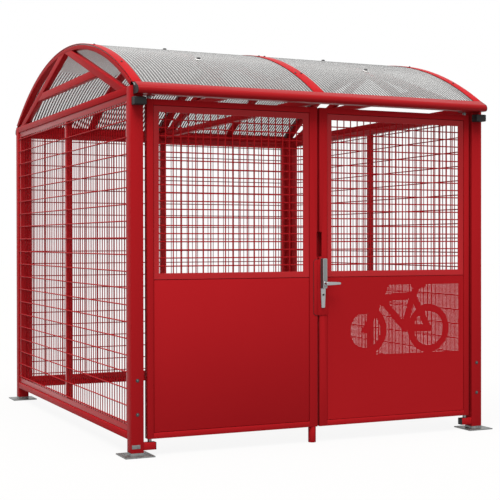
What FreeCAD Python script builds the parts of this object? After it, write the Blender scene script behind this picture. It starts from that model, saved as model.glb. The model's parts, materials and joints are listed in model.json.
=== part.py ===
import FreeCAD, Part
import Sketcher
import math
import os
import re

Vector = FreeCAD.Vector

# Driving sizes in millimetres, with turns in degrees
SIZES = {
    # Footprint and posts
    "shelter_width": 2560,
    "shelter_depth": 2930,
    "post_side": 80,
    "post_wall": 4,
    "post_top": 2249,
    "plate_side": 190,
    "plate_thick": 8,
    "plate_hole_radius": 7,
    "plate_hole_spacing": 150,
    "foot_height": 14,
    "spigot_length": 80,
    "spigot_clear": 0.5,
    # Rails, wall panels and their nets
    "rail_side": 45,
    "tube_wall": 3,
    "rail_bottom": 98,
    "panel_tube": 40,
    "panel_setback": 8,
    "panel_joint": 0.8,
    "net_wire": 4,
    "net_thick": 8,
    "wall_net_across": 100,
    "wall_net_up": 200,
    # Roof trusses
    "rafter_width": 40,
    "rafter_height": 50,
    "rafter_foot_inset": 290,
    "truss_setback": 2,
    "collar_rise": 145,
    "weld_gap": 0.3,
    # Barrel roof, with its axis along the width
    "rib_inner": 2750,
    "rib_foot_inset": 29,
    "rib_height": 28,
    "rib_width": 50,
    "rib_setback": 5,
    "bay_rib_offset": 640,
    "sheet_thick": 8,
    "sheet_setback": 14,
    "sheet_gap": 8,
    "sheet_reach": 35,
    "sheet_edge_clear": 3,
    "strip_thick": 4,
    "strip_setback": 8,
    "strip_reach": 13,
    "edge_strip_width": 60,
    "middle_strip_width": 76,
    # Roof screws
    "screw_head_radius": 7,
    "screw_head_height": 6,
    "screw_seat_gap": 0.02,
    "strip_screw_step": 12.5,
    "strip_screw_spread": 22,
    "washer_radius": 22,
    "washer_thick": 8,
    "sheet_screw_first": 7,
    "sheet_screw_step": 13.5,
    # Gutters
    "gutter_drop": 53,
    "gutter_reach": 91,
    "gutter_nose_height": 38,
    "gutter_lip": 19,
    "gutter_lip_thick": 9,
    "gutter_slot_clear": 0.5,
    "gutter_wall": 4,
    "gutter_lower_radius": 18,
    "gutter_upper_radius": 30,
    "gutter_flat": 0.5,
    "gutter_end_setback": 19,
    "gutter_cap_thick": 3,
    # Door leaves
    "hinge_gap": 25,
    "meeting_gap": 15,
    "leaf_bottom": 102,
    "leaf_head_gap": 76,
    "leaf_depth": 50,
    "leaf_stile": 40,
    "meeting_stile": 57,
    "leaf_rail": 36,
    "sill_height": 1071,
    "mid_rail_height": 40,
    "ledge_width": 25,
    "ledge_thick": 3,
    "bead_groove": 3,
    "bead_width": 38,
    "bead_recess": 4,
    "bead_depth": 14,
    "bead_lip": 4,
    "bead_rim": 1,
    "panel_sheet": 2,
    "leaf_net_across": 100,
    "leaf_net_up": 100,
    # Leaf pivots
    "pivot_gap": 21,
    "stub_side": 45,
    "stub_length": 78,
    "pin_radius": 10,
    "pin_shoulder_radius": 12.5,
    "pin_engage": 38,
    "bush_height": 44,
    "running_clear": 0.05,
    "axial_clear": 0.4,
    "cap_thick": 4,
    "cap_insert": 12,
    # Stops that meet the open leaves
    "stop_width": 75,
    "stop_depth": 60,
    "stop_height": 47,
    "stop_overlap": 43,
    "stop_radius": 8,
    # Cover plates over the meeting stiles
    "cover_below_lever": 207,
    "cover_above_lever": 155,
    "cover_thick": 4,
    "cover_seam": 1,
    "strike_width": 27,
    "strike_corner": 12,
    "notch_gap": 19,
    "notch_height": 160,
    "notch_reach": 30,
    "notch_depth_left": 5.5,
    "notch_depth_right": 15.5,
    # Lock, levers and key
    "lever_height": 1032,
    "lock_backset": 21.5,
    "key_below_lever": 74,
    "lock_plate_width": 36,
    "lock_plate_foot": 26,
    "lock_plate_below_key": 85,
    "lock_plate_thick": 8,
    "housing_width": 32,
    "housing_below_lever": 32,
    "housing_above_lever": 162,
    "housing_depth": 35,
    "spindle_side": 8,
    "spindle_clear": 0.5,
    "neck_radius": 9,
    "neck_seat": 6,
    "neck_length": 25,
    "grip_length": 106,
    "grip_height": 24,
    "grip_depth": 12,
    "case_beyond_bolts": 23,
    "case_thick": 20,
    "case_wall": 2,
    "bolt_height": 24,
    "bolt_thick": 12,
    "bolt_length": 35,
    "bolt_inset": 0.5,
    "bolt_clear": 0.3,
    "mortise_clear": 1,
    "latch_above_lever": 43,
    "deadbolt_below_key": 43,
    "cylinder_radius": 9.5,
    "cylinder_clear": 0.2,
    "cylinder_proud": 3,
    "key_plug_radius": 6.5,
    "key_plug_length": 30,
    "key_slot_width": 2,
    "key_slot_height": 9,
    # Drop bolt of the left leaf and its keeper on the ground
    "drop_rod_radius": 8,
    "drop_rod_inset": 2,
    "drop_rod_length": 500,
    "drop_travel": 60,
    "guide_height": 20,
    "guide_below_rod_top": 44,
    "knob_below_rod_top": 124,
    "knob_radius": 12,
    "knob_length": 20,
    "knob_offset": 15,
    "knob_pin_radius": 5,
    "knob_slot_clear": 1,
    "keeper_radius": 25,
    "keeper_gap": 0.8,
    "keeper_bore_clear": 0.5,
    "keeper_bore_spare": 14,
    # Bicycle figure left plain in the perforated panel
    "perforation_pitch": 28,
    "perforation_side": 16,
    "field_side_margin": 42,
    "field_top_margin": 53,
    "field_width": 662,
    "field_height": 468,
    "wheel_base": 494,
    "wheel_drop": 357,
    "wheel_inner": 118,
    "wheel_outer": 162,
    "rear_wheel_inset": 246,
    "figure_bar": 22,
    "figure_head_inset": 623,
    "figure_head_drop": 146,
    "figure_seat_inset": 371,
    "figure_seat_drop": 131,
    "figure_crank_inset": 438,
    "figure_crank_drop": 346,
    "figure_saddle_inset": 325,
    "figure_saddle_drop": 59,
    "figure_saddle_reach": 36,
}

# Planes and radii that follow from the sizes
PLACES = {
    "half_width": "shelter_width / 2",
    "half_depth": "shelter_depth / 2",
    "post_inner": "half_width - post_side",
    "post_foot": "plate_thick + foot_height",
    "post_centre_x": "half_width - post_side / 2",
    "post_centre_y": "half_depth - post_side / 2",
    "post_inner_y": "half_depth - post_side",
    "panel_bottom": "rail_bottom + rail_side + panel_joint",
    "chord_bottom": "post_top - rail_side",
    "panel_top": "chord_bottom - panel_joint",
    "rib_foot": "half_depth - rib_foot_inset",
    "arch_centre": "post_top + weld_gap - sqrt(rib_inner ^ 2 - rib_foot ^ 2)",
    "rafter_foot": "half_depth - rafter_foot_inset",
    "collar_bottom": "post_top + collar_rise",
    "crown_underside": "arch_centre + rib_inner",
    "rafter_slope": "atan((crown_underside - post_top) / rafter_foot)",
    "rafter_tail": "rafter_height / tan(rafter_slope)",
    "rafter_length": "rafter_foot / cos(rafter_slope) + rafter_tail",
    "collar_half": "rafter_foot - (collar_bottom - post_top) / tan(rafter_slope)",
    "sheet_inner": "rib_inner + rib_height",
    "sheet_outer": "sheet_inner + sheet_thick",
    "strip_outer": "sheet_outer + strip_thick",
    "rib_turn": "acos((post_top + weld_gap - arch_centre) / rib_inner)",
    "bay_rib_turn": "asin((half_depth - weld_gap) / sheet_inner)",
    "sheet_turn": "asin((half_depth + sheet_reach) / sheet_outer)",
    "strip_turn": "asin((half_depth + strip_reach) / strip_outer)",
    "gutter_half": "half_width - gutter_end_setback",
    "gutter_base": "post_top - gutter_drop",
    "gutter_slot": "sheet_reach + sheet_edge_clear",
    "gutter_lip_under": "arch_centre + sqrt(sheet_outer ^ 2 - (half_depth + gutter_lip) ^ 2)"
                        " + gutter_slot_clear - gutter_base",
    "gutter_lip_top": "gutter_lip_under + gutter_lip_thick",
    "gutter_nose_turn": "atan((gutter_reach - gutter_lip) / (gutter_lip_top - gutter_nose_height))",
    "gutter_nose_radius": "min(gutter_upper_radius; (gutter_nose_height - gutter_lower_radius - gutter_flat)"
                          " / tan(gutter_nose_turn / 2))",
    "gutter_slot_top": "arch_centre + sqrt(sheet_outer ^ 2 - (half_depth + gutter_slot) ^ 2)"
                       " + gutter_slot_clear - gutter_base",
    "gutter_slot_bottom": "arch_centre + sqrt(sheet_inner ^ 2 - (half_depth + gutter_slot) ^ 2)"
                          " - gutter_slot_clear - gutter_base",
    "gutter_back_top": "arch_centre + sqrt(sheet_inner ^ 2 - half_depth ^ 2) - gutter_slot_clear - gutter_base",
    "gutter_void_reach": "gutter_reach - gutter_wall",
    "gutter_void_turn": "gutter_reach - gutter_lower_radius",
    "gutter_void_slot": "gutter_slot + gutter_wall",
    "gutter_void_top": "gutter_slot_top - gutter_wall",
    "gutter_void_under": "gutter_slot_bottom - 2 * gutter_wall",
    "gutter_void_back": "gutter_back_top - 2 * gutter_wall",
    "leaf_top": "post_top - leaf_head_gap",
    "leaf_mid": "-half_depth + leaf_depth / 2",
    "leaf_back": "-half_depth + leaf_depth",
    "meeting_edge": "meeting_gap / 2",
    "meeting_inner": "meeting_edge + meeting_stile",
    "hinge_edge": "post_inner - hinge_gap",
    "hinge_inner": "hinge_edge - leaf_stile",
    "pivot_x": "hinge_edge - leaf_stile / 2",
    "bead_front": "-half_depth + bead_recess",
    "bead_back": "bead_front + bead_depth",
    "ledge_front": "bead_back + net_thick",
    "ledge_back": "ledge_front + ledge_thick",
    "stub_end": "post_inner - stub_length",
    "lower_stub_top": "leaf_bottom - pivot_gap",
    "lower_stub_bottom": "lower_stub_top - stub_side",
    "upper_stub_bottom": "leaf_top + pivot_gap",
    "upper_stub_top": "upper_stub_bottom + stub_side",
    "stop_base": "leaf_top - stop_overlap",
    "cover_bottom": "lever_height - cover_below_lever",
    "cover_top": "lever_height + cover_above_lever",
    "notch_bottom": "cover_top + notch_gap",
    "notch_top": "notch_bottom + notch_height",
    "cover_front": "-half_depth - cover_thick",
    "lock_x": "meeting_edge + lock_backset",
    "key_height": "lever_height - key_below_lever",
    "latch_height": "lever_height + latch_above_lever",
    "deadbolt_height": "key_height - deadbolt_below_key",
    "lock_plate_bottom": "key_height - lock_plate_below_key",
    "housing_bottom": "lever_height - housing_below_lever",
    "housing_top": "lever_height + housing_above_lever",
    "case_bottom": "deadbolt_height - bolt_height / 2 - case_beyond_bolts",
    "case_top": "latch_height + bolt_height / 2 + case_beyond_bolts",
    "lock_plate_front": "cover_front - lock_plate_thick",
    "housing_front": "cover_front - housing_depth",
    "inner_plate_back": "leaf_back + lock_plate_thick",
    "cylinder_front": "lock_plate_front - cylinder_proud",
    "drop_rod_x": "meeting_edge + meeting_stile / 2",
    "drop_rod_bottom": "leaf_bottom + drop_rod_inset",
    "drop_rod_top": "drop_rod_bottom + drop_rod_length",
    "guide_level": "drop_rod_top - guide_below_rod_top",
    "knob_level": "drop_rod_top - knob_below_rod_top",
    "keeper_top": "leaf_bottom - keeper_gap",
    "keeper_bore_floor": "drop_rod_bottom - drop_travel - keeper_bore_spare",
    "field_right": "hinge_inner - field_side_margin",
    "field_left": "field_right - field_width",
    "field_top": "sill_height - field_top_margin",
    "field_bottom": "field_top - field_height",
    "rear_wheel_x": "field_right - rear_wheel_inset",
    "front_wheel_x": "rear_wheel_x - wheel_base",
    "wheel_z": "sill_height - wheel_drop",
    "figure_head_x": "field_right - figure_head_inset",
    "figure_head_z": "sill_height - figure_head_drop",
    "figure_seat_x": "field_right - figure_seat_inset",
    "figure_seat_z": "sill_height - figure_seat_drop",
    "figure_crank_x": "field_right - figure_crank_inset",
    "figure_crank_z": "sill_height - figure_crank_drop",
    "figure_saddle_x": "field_right - figure_saddle_inset",
    "figure_saddle_z": "sill_height - figure_saddle_drop",
}

LEFT_RIGHT = {"left": True, "right": False}
FRONT_REAR = {"front": True, "rear": False}
NAME = re.compile(r"[a-z]+(?:_[a-z]+)*")
SAME_POINT = 1e-6

doc = FreeCAD.newDocument("bicycle_shelter")
sizes = doc.addObject("Spreadsheet::Sheet", "sizes")
places = doc.addObject("Spreadsheet::Sheet", "places")
nodes = []


def size_reference(word):
    """A size's name becomes a reference to its cell."""
    name = word.group()
    return f"sizes.{name}" if name in SIZES else name


def cell_reference(word):
    """A size's or a place's name becomes a reference to its cell."""
    name = word.group()
    return f"places.{name}" if name in PLACES else size_reference(word)


def formula(text):
    """A formula in names, ready to drive a property."""
    return NAME.sub(cell_reference, text)


def fill(sheet, contents):
    """Write named cells down the sheet."""
    for row, (name, content) in enumerate(contents.items(), start=1):
        sheet.set(f"A{row}", name)
        sheet.set(f"B{row}", content)
        sheet.setAlias(f"B{row}", name)


def value(name):
    """The number that a named cell holds."""
    content = (places if name in PLACES else sizes).get(name)
    return getattr(content, "Value", content)


fill(sizes, {name: str(size) for name, size in SIZES.items()})
fill(places, {name: "=" + NAME.sub(size_reference, text) for name, text in PLACES.items()})
doc.recompute()


def bind(item, **formulas):
    """Drive an object's properties by formulas."""
    for name, text in formulas.items():
        item.setExpression(name, formula(text))
    return item


def place(item, x, y, z):
    """Drive an object's position by formulas."""
    for axis, text in zip("xyz", (x, y, z)):
        item.setExpression(f"Placement.Base.{axis}", formula(text))
    return item


def turn(item, axis, angle):
    """Turn an object about an axis by a fixed angle in degrees."""
    item.Placement = FreeCAD.Placement(Vector(), FreeCAD.Rotation(axis, angle))
    return item


def span(low, high, mirrored=False):
    """Two limits, or their mirror image about the middle of the shelter."""
    return (f"-({high})", f"-({low})") if mirrored else (low, high)


def about(centre, half):
    """Limits on both sides of a centre."""
    return (f"{centre} - ({half})", f"{centre} + ({half})")


def inset(limits, by):
    """Limits drawn in by the same amount at both ends."""
    return (f"{limits[0]} + ({by})", f"{limits[1]} - ({by})")


def box(x, y, z):
    """A block between pairs of limits."""
    item = doc.addObject("Part::Box", "block")
    lengths = {name: f"{high} - ({low})" for name, (low, high) in zip(("Length", "Width", "Height"), (x, y, z))}
    return place(bind(item, **lengths), x[0], y[0], z[0])


def rod(radius, x, y, z):
    """A round bar along the one direction that is given as a pair of limits."""
    item = doc.addObject("Part::Cylinder", "round")
    if isinstance(x, tuple):
        length, x = x, x[0]
        turn(item, Vector(0, 1, 0), 90)
    elif isinstance(y, tuple):
        length, y = y, y[0]
        turn(item, Vector(1, 0, 0), -90)
    else:
        length, z = z, z[0]
    return place(bind(item, Radius=radius, Height=f"{length[1]} - ({length[0]})"), x, y, z)


def cut(base, *tools):
    """Take tools out of a base, one after the other."""
    for tool in tools:
        item = doc.addObject("Part::Cut", "cut")
        item.Base = base
        item.Tool = tool
        base = item
    return base


def common(first, second):
    """The space that two shapes share."""
    item = doc.addObject("Part::Common", "shared")
    item.Base = first
    item.Tool = second
    return item


def fuse(*pieces):
    """One solid out of several."""
    item = doc.addObject("Part::MultiFuse", "joined")
    item.Shapes = list(pieces)
    return item


def tube(x, y, z, along, wall="tube_wall"):
    """A square tube that is open at both ends."""
    limits = {"x": x, "y": y, "z": z}
    bore = [pair if axis == along else inset(pair, wall) for axis, pair in limits.items()]
    return cut(box(x, y, z), box(*bore))


def ring(x, y, z, width):
    """A flat rectangular ring that stands upright, facing the front."""
    return cut(box(x, y, z), box(inset(x, width), y, inset(z, width)))


def node(label, *pieces):
    """Name a finished piece, or a group of like pieces."""
    item = pieces[0]
    if len(pieces) > 1:
        item = doc.addObject("Part::Compound", "group")
        item.Links = list(pieces)
    item.Label = label
    nodes.append(item)
    return item


def outline(body, corners):
    """A closed sketch across the body's length, each corner given by the names of its two distances."""
    sketch = body.newObject("Sketcher::SketchObject", "outline")
    plane = next(item for item in body.Origin.OriginFeatures if item.Role == "YZ_Plane")
    sketch.AttachmentSupport = [(plane, "")]
    sketch.MapMode = "FlatFace"
    points = [Vector(*(value(name) if name else 0 for name in corner), 0) for corner in corners]
    count = len(points)
    for index, point in enumerate(points):
        sketch.addGeometry(Part.LineSegment(point, points[(index + 1) % count]), False)
    for index in range(count):
        sketch.addConstraint(Sketcher.Constraint("Coincident", index, 2, (index + 1) % count, 1))
    for index, corner in enumerate(corners):
        for kind, axis, name in zip(("DistanceX", "DistanceY"), (-2, -1), corner):
            if name is None:
                sketch.addConstraint(Sketcher.Constraint("PointOnObject", index, 1, axis))
            else:
                row = sketch.addConstraint(Sketcher.Constraint(kind, -1, 1, index, 1, value(name)))
                sketch.setExpression(f"Constraints[{row}]", formula(name))
    doc.recompute()
    return sketch


def padded(corners, length, rounded):
    """A body of constant section along X, with the long edges at some of its corners rounded."""
    body = doc.addObject("PartDesign::Body", "profile")
    pad = body.newObject("PartDesign::Pad", "length")
    pad.Profile = outline(body, corners)
    bind(pad, Length=length)
    doc.recompute()
    for corner, radius in rounded:
        base = body.Tip
        wanted = [value(name) if name else 0 for name in corner]
        names = [f"Edge{number}" for number, edge in enumerate(base.Shape.Edges, start=1)
                 if all(math.dist(wanted, (end.Y, end.Z)) < SAME_POINT for end in edge.Vertexes)]
        fillet = body.newObject("PartDesign::Fillet", "rounding")
        fillet.Base = (base, names)
        bind(fillet, Radius=radius)
        doc.recompute()
    return body


def holed_plate(envelope, holes):
    """A thin upright plate that fills an envelope, with square holes given by their limits."""
    box_limits = envelope.Shape.BoundBox
    thin_x = box_limits.XLength < box_limits.YLength

    def loop(limits, inner):
        low_u, high_u, low_v, high_v = limits
        corners = [(low_u, low_v), (high_u, low_v), (high_u, high_v), (low_u, high_v), (low_u, low_v)]
        if inner:
            corners.reverse()
        if thin_x:
            return Part.makePolygon([Vector(box_limits.XMin, u, v) for u, v in corners])
        return Part.makePolygon([Vector(u, box_limits.YMin, v) for u, v in corners])

    edges = (box_limits.YMin, box_limits.YMax) if thin_x else (box_limits.XMin, box_limits.XMax)
    loops = [loop((*edges, box_limits.ZMin, box_limits.ZMax), False)]
    loops.extend(loop(hole, True) for hole in holes(*edges, box_limits.ZMin, box_limits.ZMax))
    thickness = Vector(box_limits.XLength, 0, 0) if thin_x else Vector(0, box_limits.YLength, 0)
    plate = doc.addObject("Part::Feature", "plate")
    plate.Shape = Part.Face(loops).extrude(thickness)
    plate.Placement = FreeCAD.Placement()
    return plate


def net(envelope, across, up):
    """A welded wire net that fills an envelope, at a pitch near the given ones."""
    wire = value("net_wire")

    def gaps(low_u, high_u, low_v, high_v):
        columns = round((high_u - low_u - wire) / value(across))
        rows = round((high_v - low_v - wire) / value(up))
        step_u = (high_u - low_u - wire) / columns
        step_v = (high_v - low_v - wire) / rows
        for column in range(columns):
            for row in range(rows):
                u = low_u + column * step_u
                v = low_v + row * step_v
                yield u + wire, u + step_u, v + wire, v + step_v

    doc.recompute()
    return holed_plate(envelope, gaps)


# Base plates with a foot and a spigot that carry the four posts
plates = []
for hand, left in LEFT_RIGHT.items():
    for end, front in FRONT_REAR.items():
        x = span("post_inner", "half_width", left)
        y = span("post_inner_y", "half_depth", front)
        centre_x = "-post_centre_x" if left else "post_centre_x"
        centre_y = "-post_centre_y" if front else "post_centre_y"
        flat = box(about(centre_x, "plate_side / 2"), about(centre_y, "plate_side / 2"), ("0", "plate_thick"))
        holes = [rod("plate_hole_radius", f"{centre_x} {across} plate_hole_spacing / 2",
                     f"{centre_y} {along} plate_hole_spacing / 2", ("0", "plate_thick"))
                 for across in "+-" for along in "+-"]
        foot = box(x, y, ("plate_thick", "post_foot"))
        spigot = box(inset(x, "post_wall + spigot_clear"), inset(y, "post_wall + spigot_clear"),
                     ("post_foot", "post_foot + spigot_length"))
        plates.append(fuse(cut(flat, *holes), foot, spigot))
        node(f"post_{end}_{hand}", tube(x, y, ("post_foot", "post_top"), "z", "post_wall"))
node("base_plates", *plates)

# Rails at the foot of the three walls and along the rear eaves
between_posts_x = ("-post_inner", "post_inner")
between_posts_y = ("-post_inner_y", "post_inner_y")
rear_rail_y = ("half_depth - rail_side", "half_depth")
rail_z = ("rail_bottom", "rail_bottom + rail_side")
chord_z = ("chord_bottom", "post_top")
side_rails = [tube(span("half_width - rail_side", "half_width", left), between_posts_y, rail_z, "y")
              for left in LEFT_RIGHT.values()]
node("bottom_rails", *side_rails, tube(between_posts_x, rear_rail_y, rail_z, "x"))
node("eaves_rail", tube(between_posts_x, rear_rail_y, chord_z, "x"))


# Wall panels: a tube frame with a middle stile, and a net over its outer face
def panel_depths(face):
    """Depths of a panel's tubes and of the net on them, behind the outer face of the posts."""
    front = f"{face} - panel_setback"
    return (f"{front} - panel_tube", front), (front, f"{front} + net_thick")


def wall_panel(label, run, tube_depth, net_depth, run_along):
    """A wall panel whose run lies along X or Y between a pair of limits."""
    def oriented(along, depth, up):
        return (along, depth, up) if run_along == "x" else (depth, along, up)

    panel_z = ("panel_bottom", "panel_top")
    opening_z = inset(panel_z, "panel_tube")
    levels = [(panel_z[0], opening_z[0]), (opening_z[1], panel_z[1])]
    stiles = [(run[0], f"{run[0]} + panel_tube"),
              about("0", "panel_tube / 2"),
              (f"{run[1]} - panel_tube", run[1])]
    pieces = [tube(*oriented(run, tube_depth, level), run_along) for level in levels]
    pieces.extend(tube(*oriented(stile, tube_depth, opening_z), "z") for stile in stiles)
    node(f"panel_frame_{label}", *pieces)
    node(f"panel_net_{label}", net(box(*oriented(run, net_depth, panel_z)), "wall_net_across", "wall_net_up"))


side_depths = panel_depths("half_width")
for hand, left in LEFT_RIGHT.items():
    depths = [span(*depth, left) for depth in side_depths]
    wall_panel(hand, inset(between_posts_y, "panel_joint"), *depths, "y")
wall_panel("rear", inset(between_posts_x, "panel_joint"), *panel_depths("half_depth"), "x")


# Barrel roof pieces: each is a ring sector about one axis
def arch(inner, outer, x, front_turn, rear_turn):
    """A curved strip between two radii that runs from the front eaves to the rear."""
    sector = turn(doc.addObject("Part::Cylinder", "sector"), Vector(1, 1, 1), 120)
    bind(sector, Radius=outer, Height=f"{x[1]} - ({x[0]})", Angle=f"{front_turn} + {rear_turn}")
    place(sector, x[0], "0", "0")
    item = turn(cut(sector, rod(inner, x, "0", "0")), Vector(1, 0, 0), 1)
    item.setExpression("Placement.Rotation.Angle", formula(f"90 deg - {rear_turn}"))
    return place(item, "0", "0", "arch_centre")


def rib(x, front_turn, rear_turn):
    """A curved tube under the roof sheets, open at both ends."""
    solid = arch("rib_inner", "sheet_inner", x, front_turn, rear_turn)
    bore_x = inset(x, "tube_wall")
    return cut(solid, arch("rib_inner + tube_wall", "sheet_inner - tube_wall", bore_x, front_turn, rear_turn))


def sloping_bar(x, front, wall):
    """A bar along a rafter's slope, smaller by a wall all round."""
    level = box(inset(x, wall), ("0", "rafter_length"), inset(("0", "rafter_height"), wall))
    bar = turn(level, Vector(1, 0, 0), 1)
    slope = "rafter_slope" if front else "180 deg - rafter_slope"
    bar.setExpression("Placement.Rotation.Angle", formula(slope))
    lift = wall if front else f"rafter_height - {wall}"
    reach = f"rafter_foot + rafter_tail * cos(rafter_slope) + ({lift}) * sin(rafter_slope)"
    height = f"post_top - rafter_tail * sin(rafter_slope) + ({lift}) * cos(rafter_slope)"
    return place(bar, f"{x[0]} + {wall}", f"-({reach})" if front else reach, height)


def truss(label, chord, x, rib_x):
    """Chord, two rafters, a collar between them and the curved rib above."""
    chord_line = box(x, ("-half_depth", "half_depth"), ("chord_bottom - rail_side", "post_top"))
    under_rib = rod("rib_inner - weld_gap", x, "0", "arch_centre")
    collar = tube(x, about("0", "collar_half"), ("collar_bottom", "collar_bottom + rafter_height"), "y")
    rafters = []
    for front in FRONT_REAR.values():
        bar = sloping_bar(x, front, "0")
        rafters.append(common(cut(bar, sloping_bar(x, front, "tube_wall"), chord_line), under_rib))
        collar = cut(collar, bar)
    node(label, chord, *rafters, collar, rib(rib_x, "rib_turn", "rib_turn"))


def at_side(setback, width, left):
    """Limits of a piece that lies inside a side of the shelter."""
    return span(f"half_width - {setback} - {width}", f"half_width - {setback}", left)


for hand, left in LEFT_RIGHT.items():
    truss(f"truss_{hand}", tube(at_side("0", "rail_side", left), between_posts_y, chord_z, "y"),
          at_side("truss_setback", "rafter_width", left), at_side("rib_setback", "rib_width", left))
truss("truss_middle", tube(about("0", "rail_side / 2"), ("-half_depth", rear_rail_y[0]), chord_z, "y"),
      about("0", "rafter_width / 2"), about("0", "rib_width / 2"))
bay_ribs = [rib(span(*about("bay_rib_offset", "rib_width / 2"), left), "bay_rib_turn", "rib_turn")
            for left in LEFT_RIGHT.values()]
node("bay_ribs", *bay_ribs)

# Roof sheets, the strips that clamp their edges, and the screws
strips_x = {"middle": about("0", "middle_strip_width / 2")}
for hand, left in LEFT_RIGHT.items():
    sheet_x = span("sheet_gap / 2", "half_width - sheet_setback", left)
    node(f"roof_sheet_{hand}", arch("sheet_inner", "sheet_outer", sheet_x, "sheet_turn", "sheet_turn"))
    strips_x[hand] = at_side("strip_setback", "edge_strip_width", left)
for name, strip_x in strips_x.items():
    node(f"cover_strip_{name}", arch("sheet_outer", "strip_outer", strip_x, "strip_turn", "strip_turn"))


def screw(x, seat_radius, angle, washered):
    """A screw head that stands on the roof, at an angle from the crown."""
    pieces = [("washer_thick" if washered else "0", "screw_head_radius", "screw_head_height")]
    if washered:
        pieces.append(("0", "washer_radius", "washer_thick"))
    rounds = []
    for seat, radius, height in pieces:
        item = turn(doc.addObject("Part::Cylinder", "round"), Vector(1, 0, 0), 1)
        bind(item, Radius=radius, Height=height)
        item.setExpression("Placement.Rotation.Angle", formula(f"({angle}) * 1 deg"))
        reach = f"({seat_radius} + screw_seat_gap + {seat})"
        rounds.append(place(item, x, f"-{reach} * sin(({angle}) * 1 deg)",
                            f"arch_centre + {reach} * cos(({angle}) * 1 deg)"))
    return fuse(*rounds) if washered else rounds[0]


strip_rows = ["-strip_screw_spread", "strip_screw_spread"]
strip_rows.extend(f"({strips_x[hand][0]} + edge_strip_width / 2)" for hand in LEFT_RIGHT)
strip_angles = [f"{step} * strip_screw_step" for step in (-2, -1, 0, 1, 2)]
node("strip_screws", *(screw(x, "strip_outer", angle, False) for x in strip_rows for angle in strip_angles))
sheet_angles = [f"{sign}({angle})" for sign in ("", "-")
                for angle in ("sheet_screw_first", "sheet_screw_first + sheet_screw_step")]
node("sheet_screws", *(screw(x, "sheet_outer", angle, True)
                       for x in ("-bay_rib_offset", "bay_rib_offset") for angle in sheet_angles))

# Gutters along both eaves, with the slot that takes the edge of the roof sheets
GUTTER_TOE = ("gutter_reach", None)
GUTTER_NOSE = ("gutter_reach", "gutter_nose_height")
GUTTER_CORNERS = [
    (None, None),
    GUTTER_TOE,
    GUTTER_NOSE,
    ("gutter_lip", "gutter_lip_top"),
    ("gutter_lip", "gutter_lip_under"),
    ("gutter_slot", "gutter_slot_top"),
    ("gutter_slot", "gutter_slot_bottom"),
    (None, "gutter_back_top"),
]
GUTTER_VOID = [
    ("gutter_wall", "gutter_wall"),
    ("gutter_void_turn", "gutter_wall"),
    ("gutter_void_reach", "gutter_lower_radius"),
    ("gutter_void_turn", "gutter_nose_height"),
    ("gutter_void_slot", "gutter_void_top"),
    ("gutter_void_slot", "gutter_void_under"),
    ("gutter_wall", "gutter_void_back"),
]
GUTTER_ROUNDED = [(GUTTER_TOE, "gutter_lower_radius"), (GUTTER_NOSE, "gutter_nose_radius")]


def facing(body, front, low_x, high_x, height):
    """Stand a profile on the front or the rear face of the posts."""
    if front:
        return place(turn(body, Vector(0, 0, 1), 180), high_x, "-half_depth", height)
    return place(body, low_x, "half_depth", height)


end_caps = []
for end, front in FRONT_REAR.items():
    gutter = padded(GUTTER_CORNERS, "2 * gutter_half", GUTTER_ROUNDED)
    full = gutter.Tip.Shape.Volume
    pocket = gutter.newObject("PartDesign::Pocket", "void")
    pocket.Profile = outline(gutter, GUTTER_VOID)
    pocket.Type = "ThroughAll"
    pocket.Reversed = True
    gutter.Tip = pocket
    doc.recompute()
    if not pocket.Shape.Volume < full:
        raise RuntimeError("the gutter's hollow was not cut")
    node(f"gutter_{end}", facing(gutter, front, "-gutter_half", "gutter_half", "gutter_base"))
    for left in LEFT_RIGHT.values():
        limits = span("gutter_half", "gutter_half + gutter_cap_thick", left)
        cap = padded(GUTTER_CORNERS, "gutter_cap_thick", GUTTER_ROUNDED)
        end_caps.append(facing(cap, front, *limits, "gutter_base"))
node("gutter_end_caps", *end_caps)

# Leaf pivots: stubs on the front posts, each with a shouldered pin and a closing cap
stub_y = about("leaf_mid", "stub_side / 2")
levels = {
    "lower": (("lower_stub_bottom", "lower_stub_top"), ("lower_stub_bottom", "leaf_bottom + pin_engage"),
              ("lower_stub_top", "leaf_bottom - axial_clear"), ("leaf_bottom", "leaf_bottom + bush_height")),
    "upper": (("upper_stub_bottom", "upper_stub_top"), ("leaf_top - pin_engage", "upper_stub_top"),
              ("leaf_top + axial_clear", "upper_stub_bottom"), ("leaf_top - bush_height", "leaf_top")),
}
stop_rounded = [("stop_depth", None), ("stop_depth", "stop_height")]
stubs, pins, stub_caps, stops = [], [], [], []
for left in LEFT_RIGHT.values():
    axis_x = "-pivot_x" if left else "pivot_x"
    for stub_z, pin_z, shoulder_z, bush_z in levels.values():
        stub = tube(span("stub_end", "post_inner", left), stub_y, stub_z, "x")
        stubs.append(cut(stub, rod("pin_radius + running_clear", axis_x, "leaf_mid", stub_z)))
        pins.append(fuse(rod("pin_radius", axis_x, "leaf_mid", pin_z),
                         rod("pin_shoulder_radius", axis_x, "leaf_mid", shoulder_z)))
        face = box(span("stub_end - cap_thick", "stub_end", left), stub_y, stub_z)
        insert = box(span("stub_end", "stub_end + cap_insert", left), inset(stub_y, "tube_wall"),
                     inset(stub_z, "tube_wall"))
        stub_caps.append(fuse(face, insert))
    stop = padded([(None, None), *stop_rounded, (None, "stop_height")], "stop_width",
                  [(corner, "stop_radius") for corner in stop_rounded])
    stops.append(facing(stop, True, *span("post_inner", "post_inner + stop_width", left), "stop_base"))
node("pivot_stubs", *stubs)
node("pivot_pins", *pins)
node("stub_caps", *stub_caps)
node("door_stops", *stops)

# Door leaves: a tube frame with ledges, a bevelled bead over a wire net, and a sheet panel below
leaf_y = ("-half_depth", "leaf_back")
leaf_z = ("leaf_bottom", "leaf_top")
bolt_levels = ("latch_height", "deadbolt_height")


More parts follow.
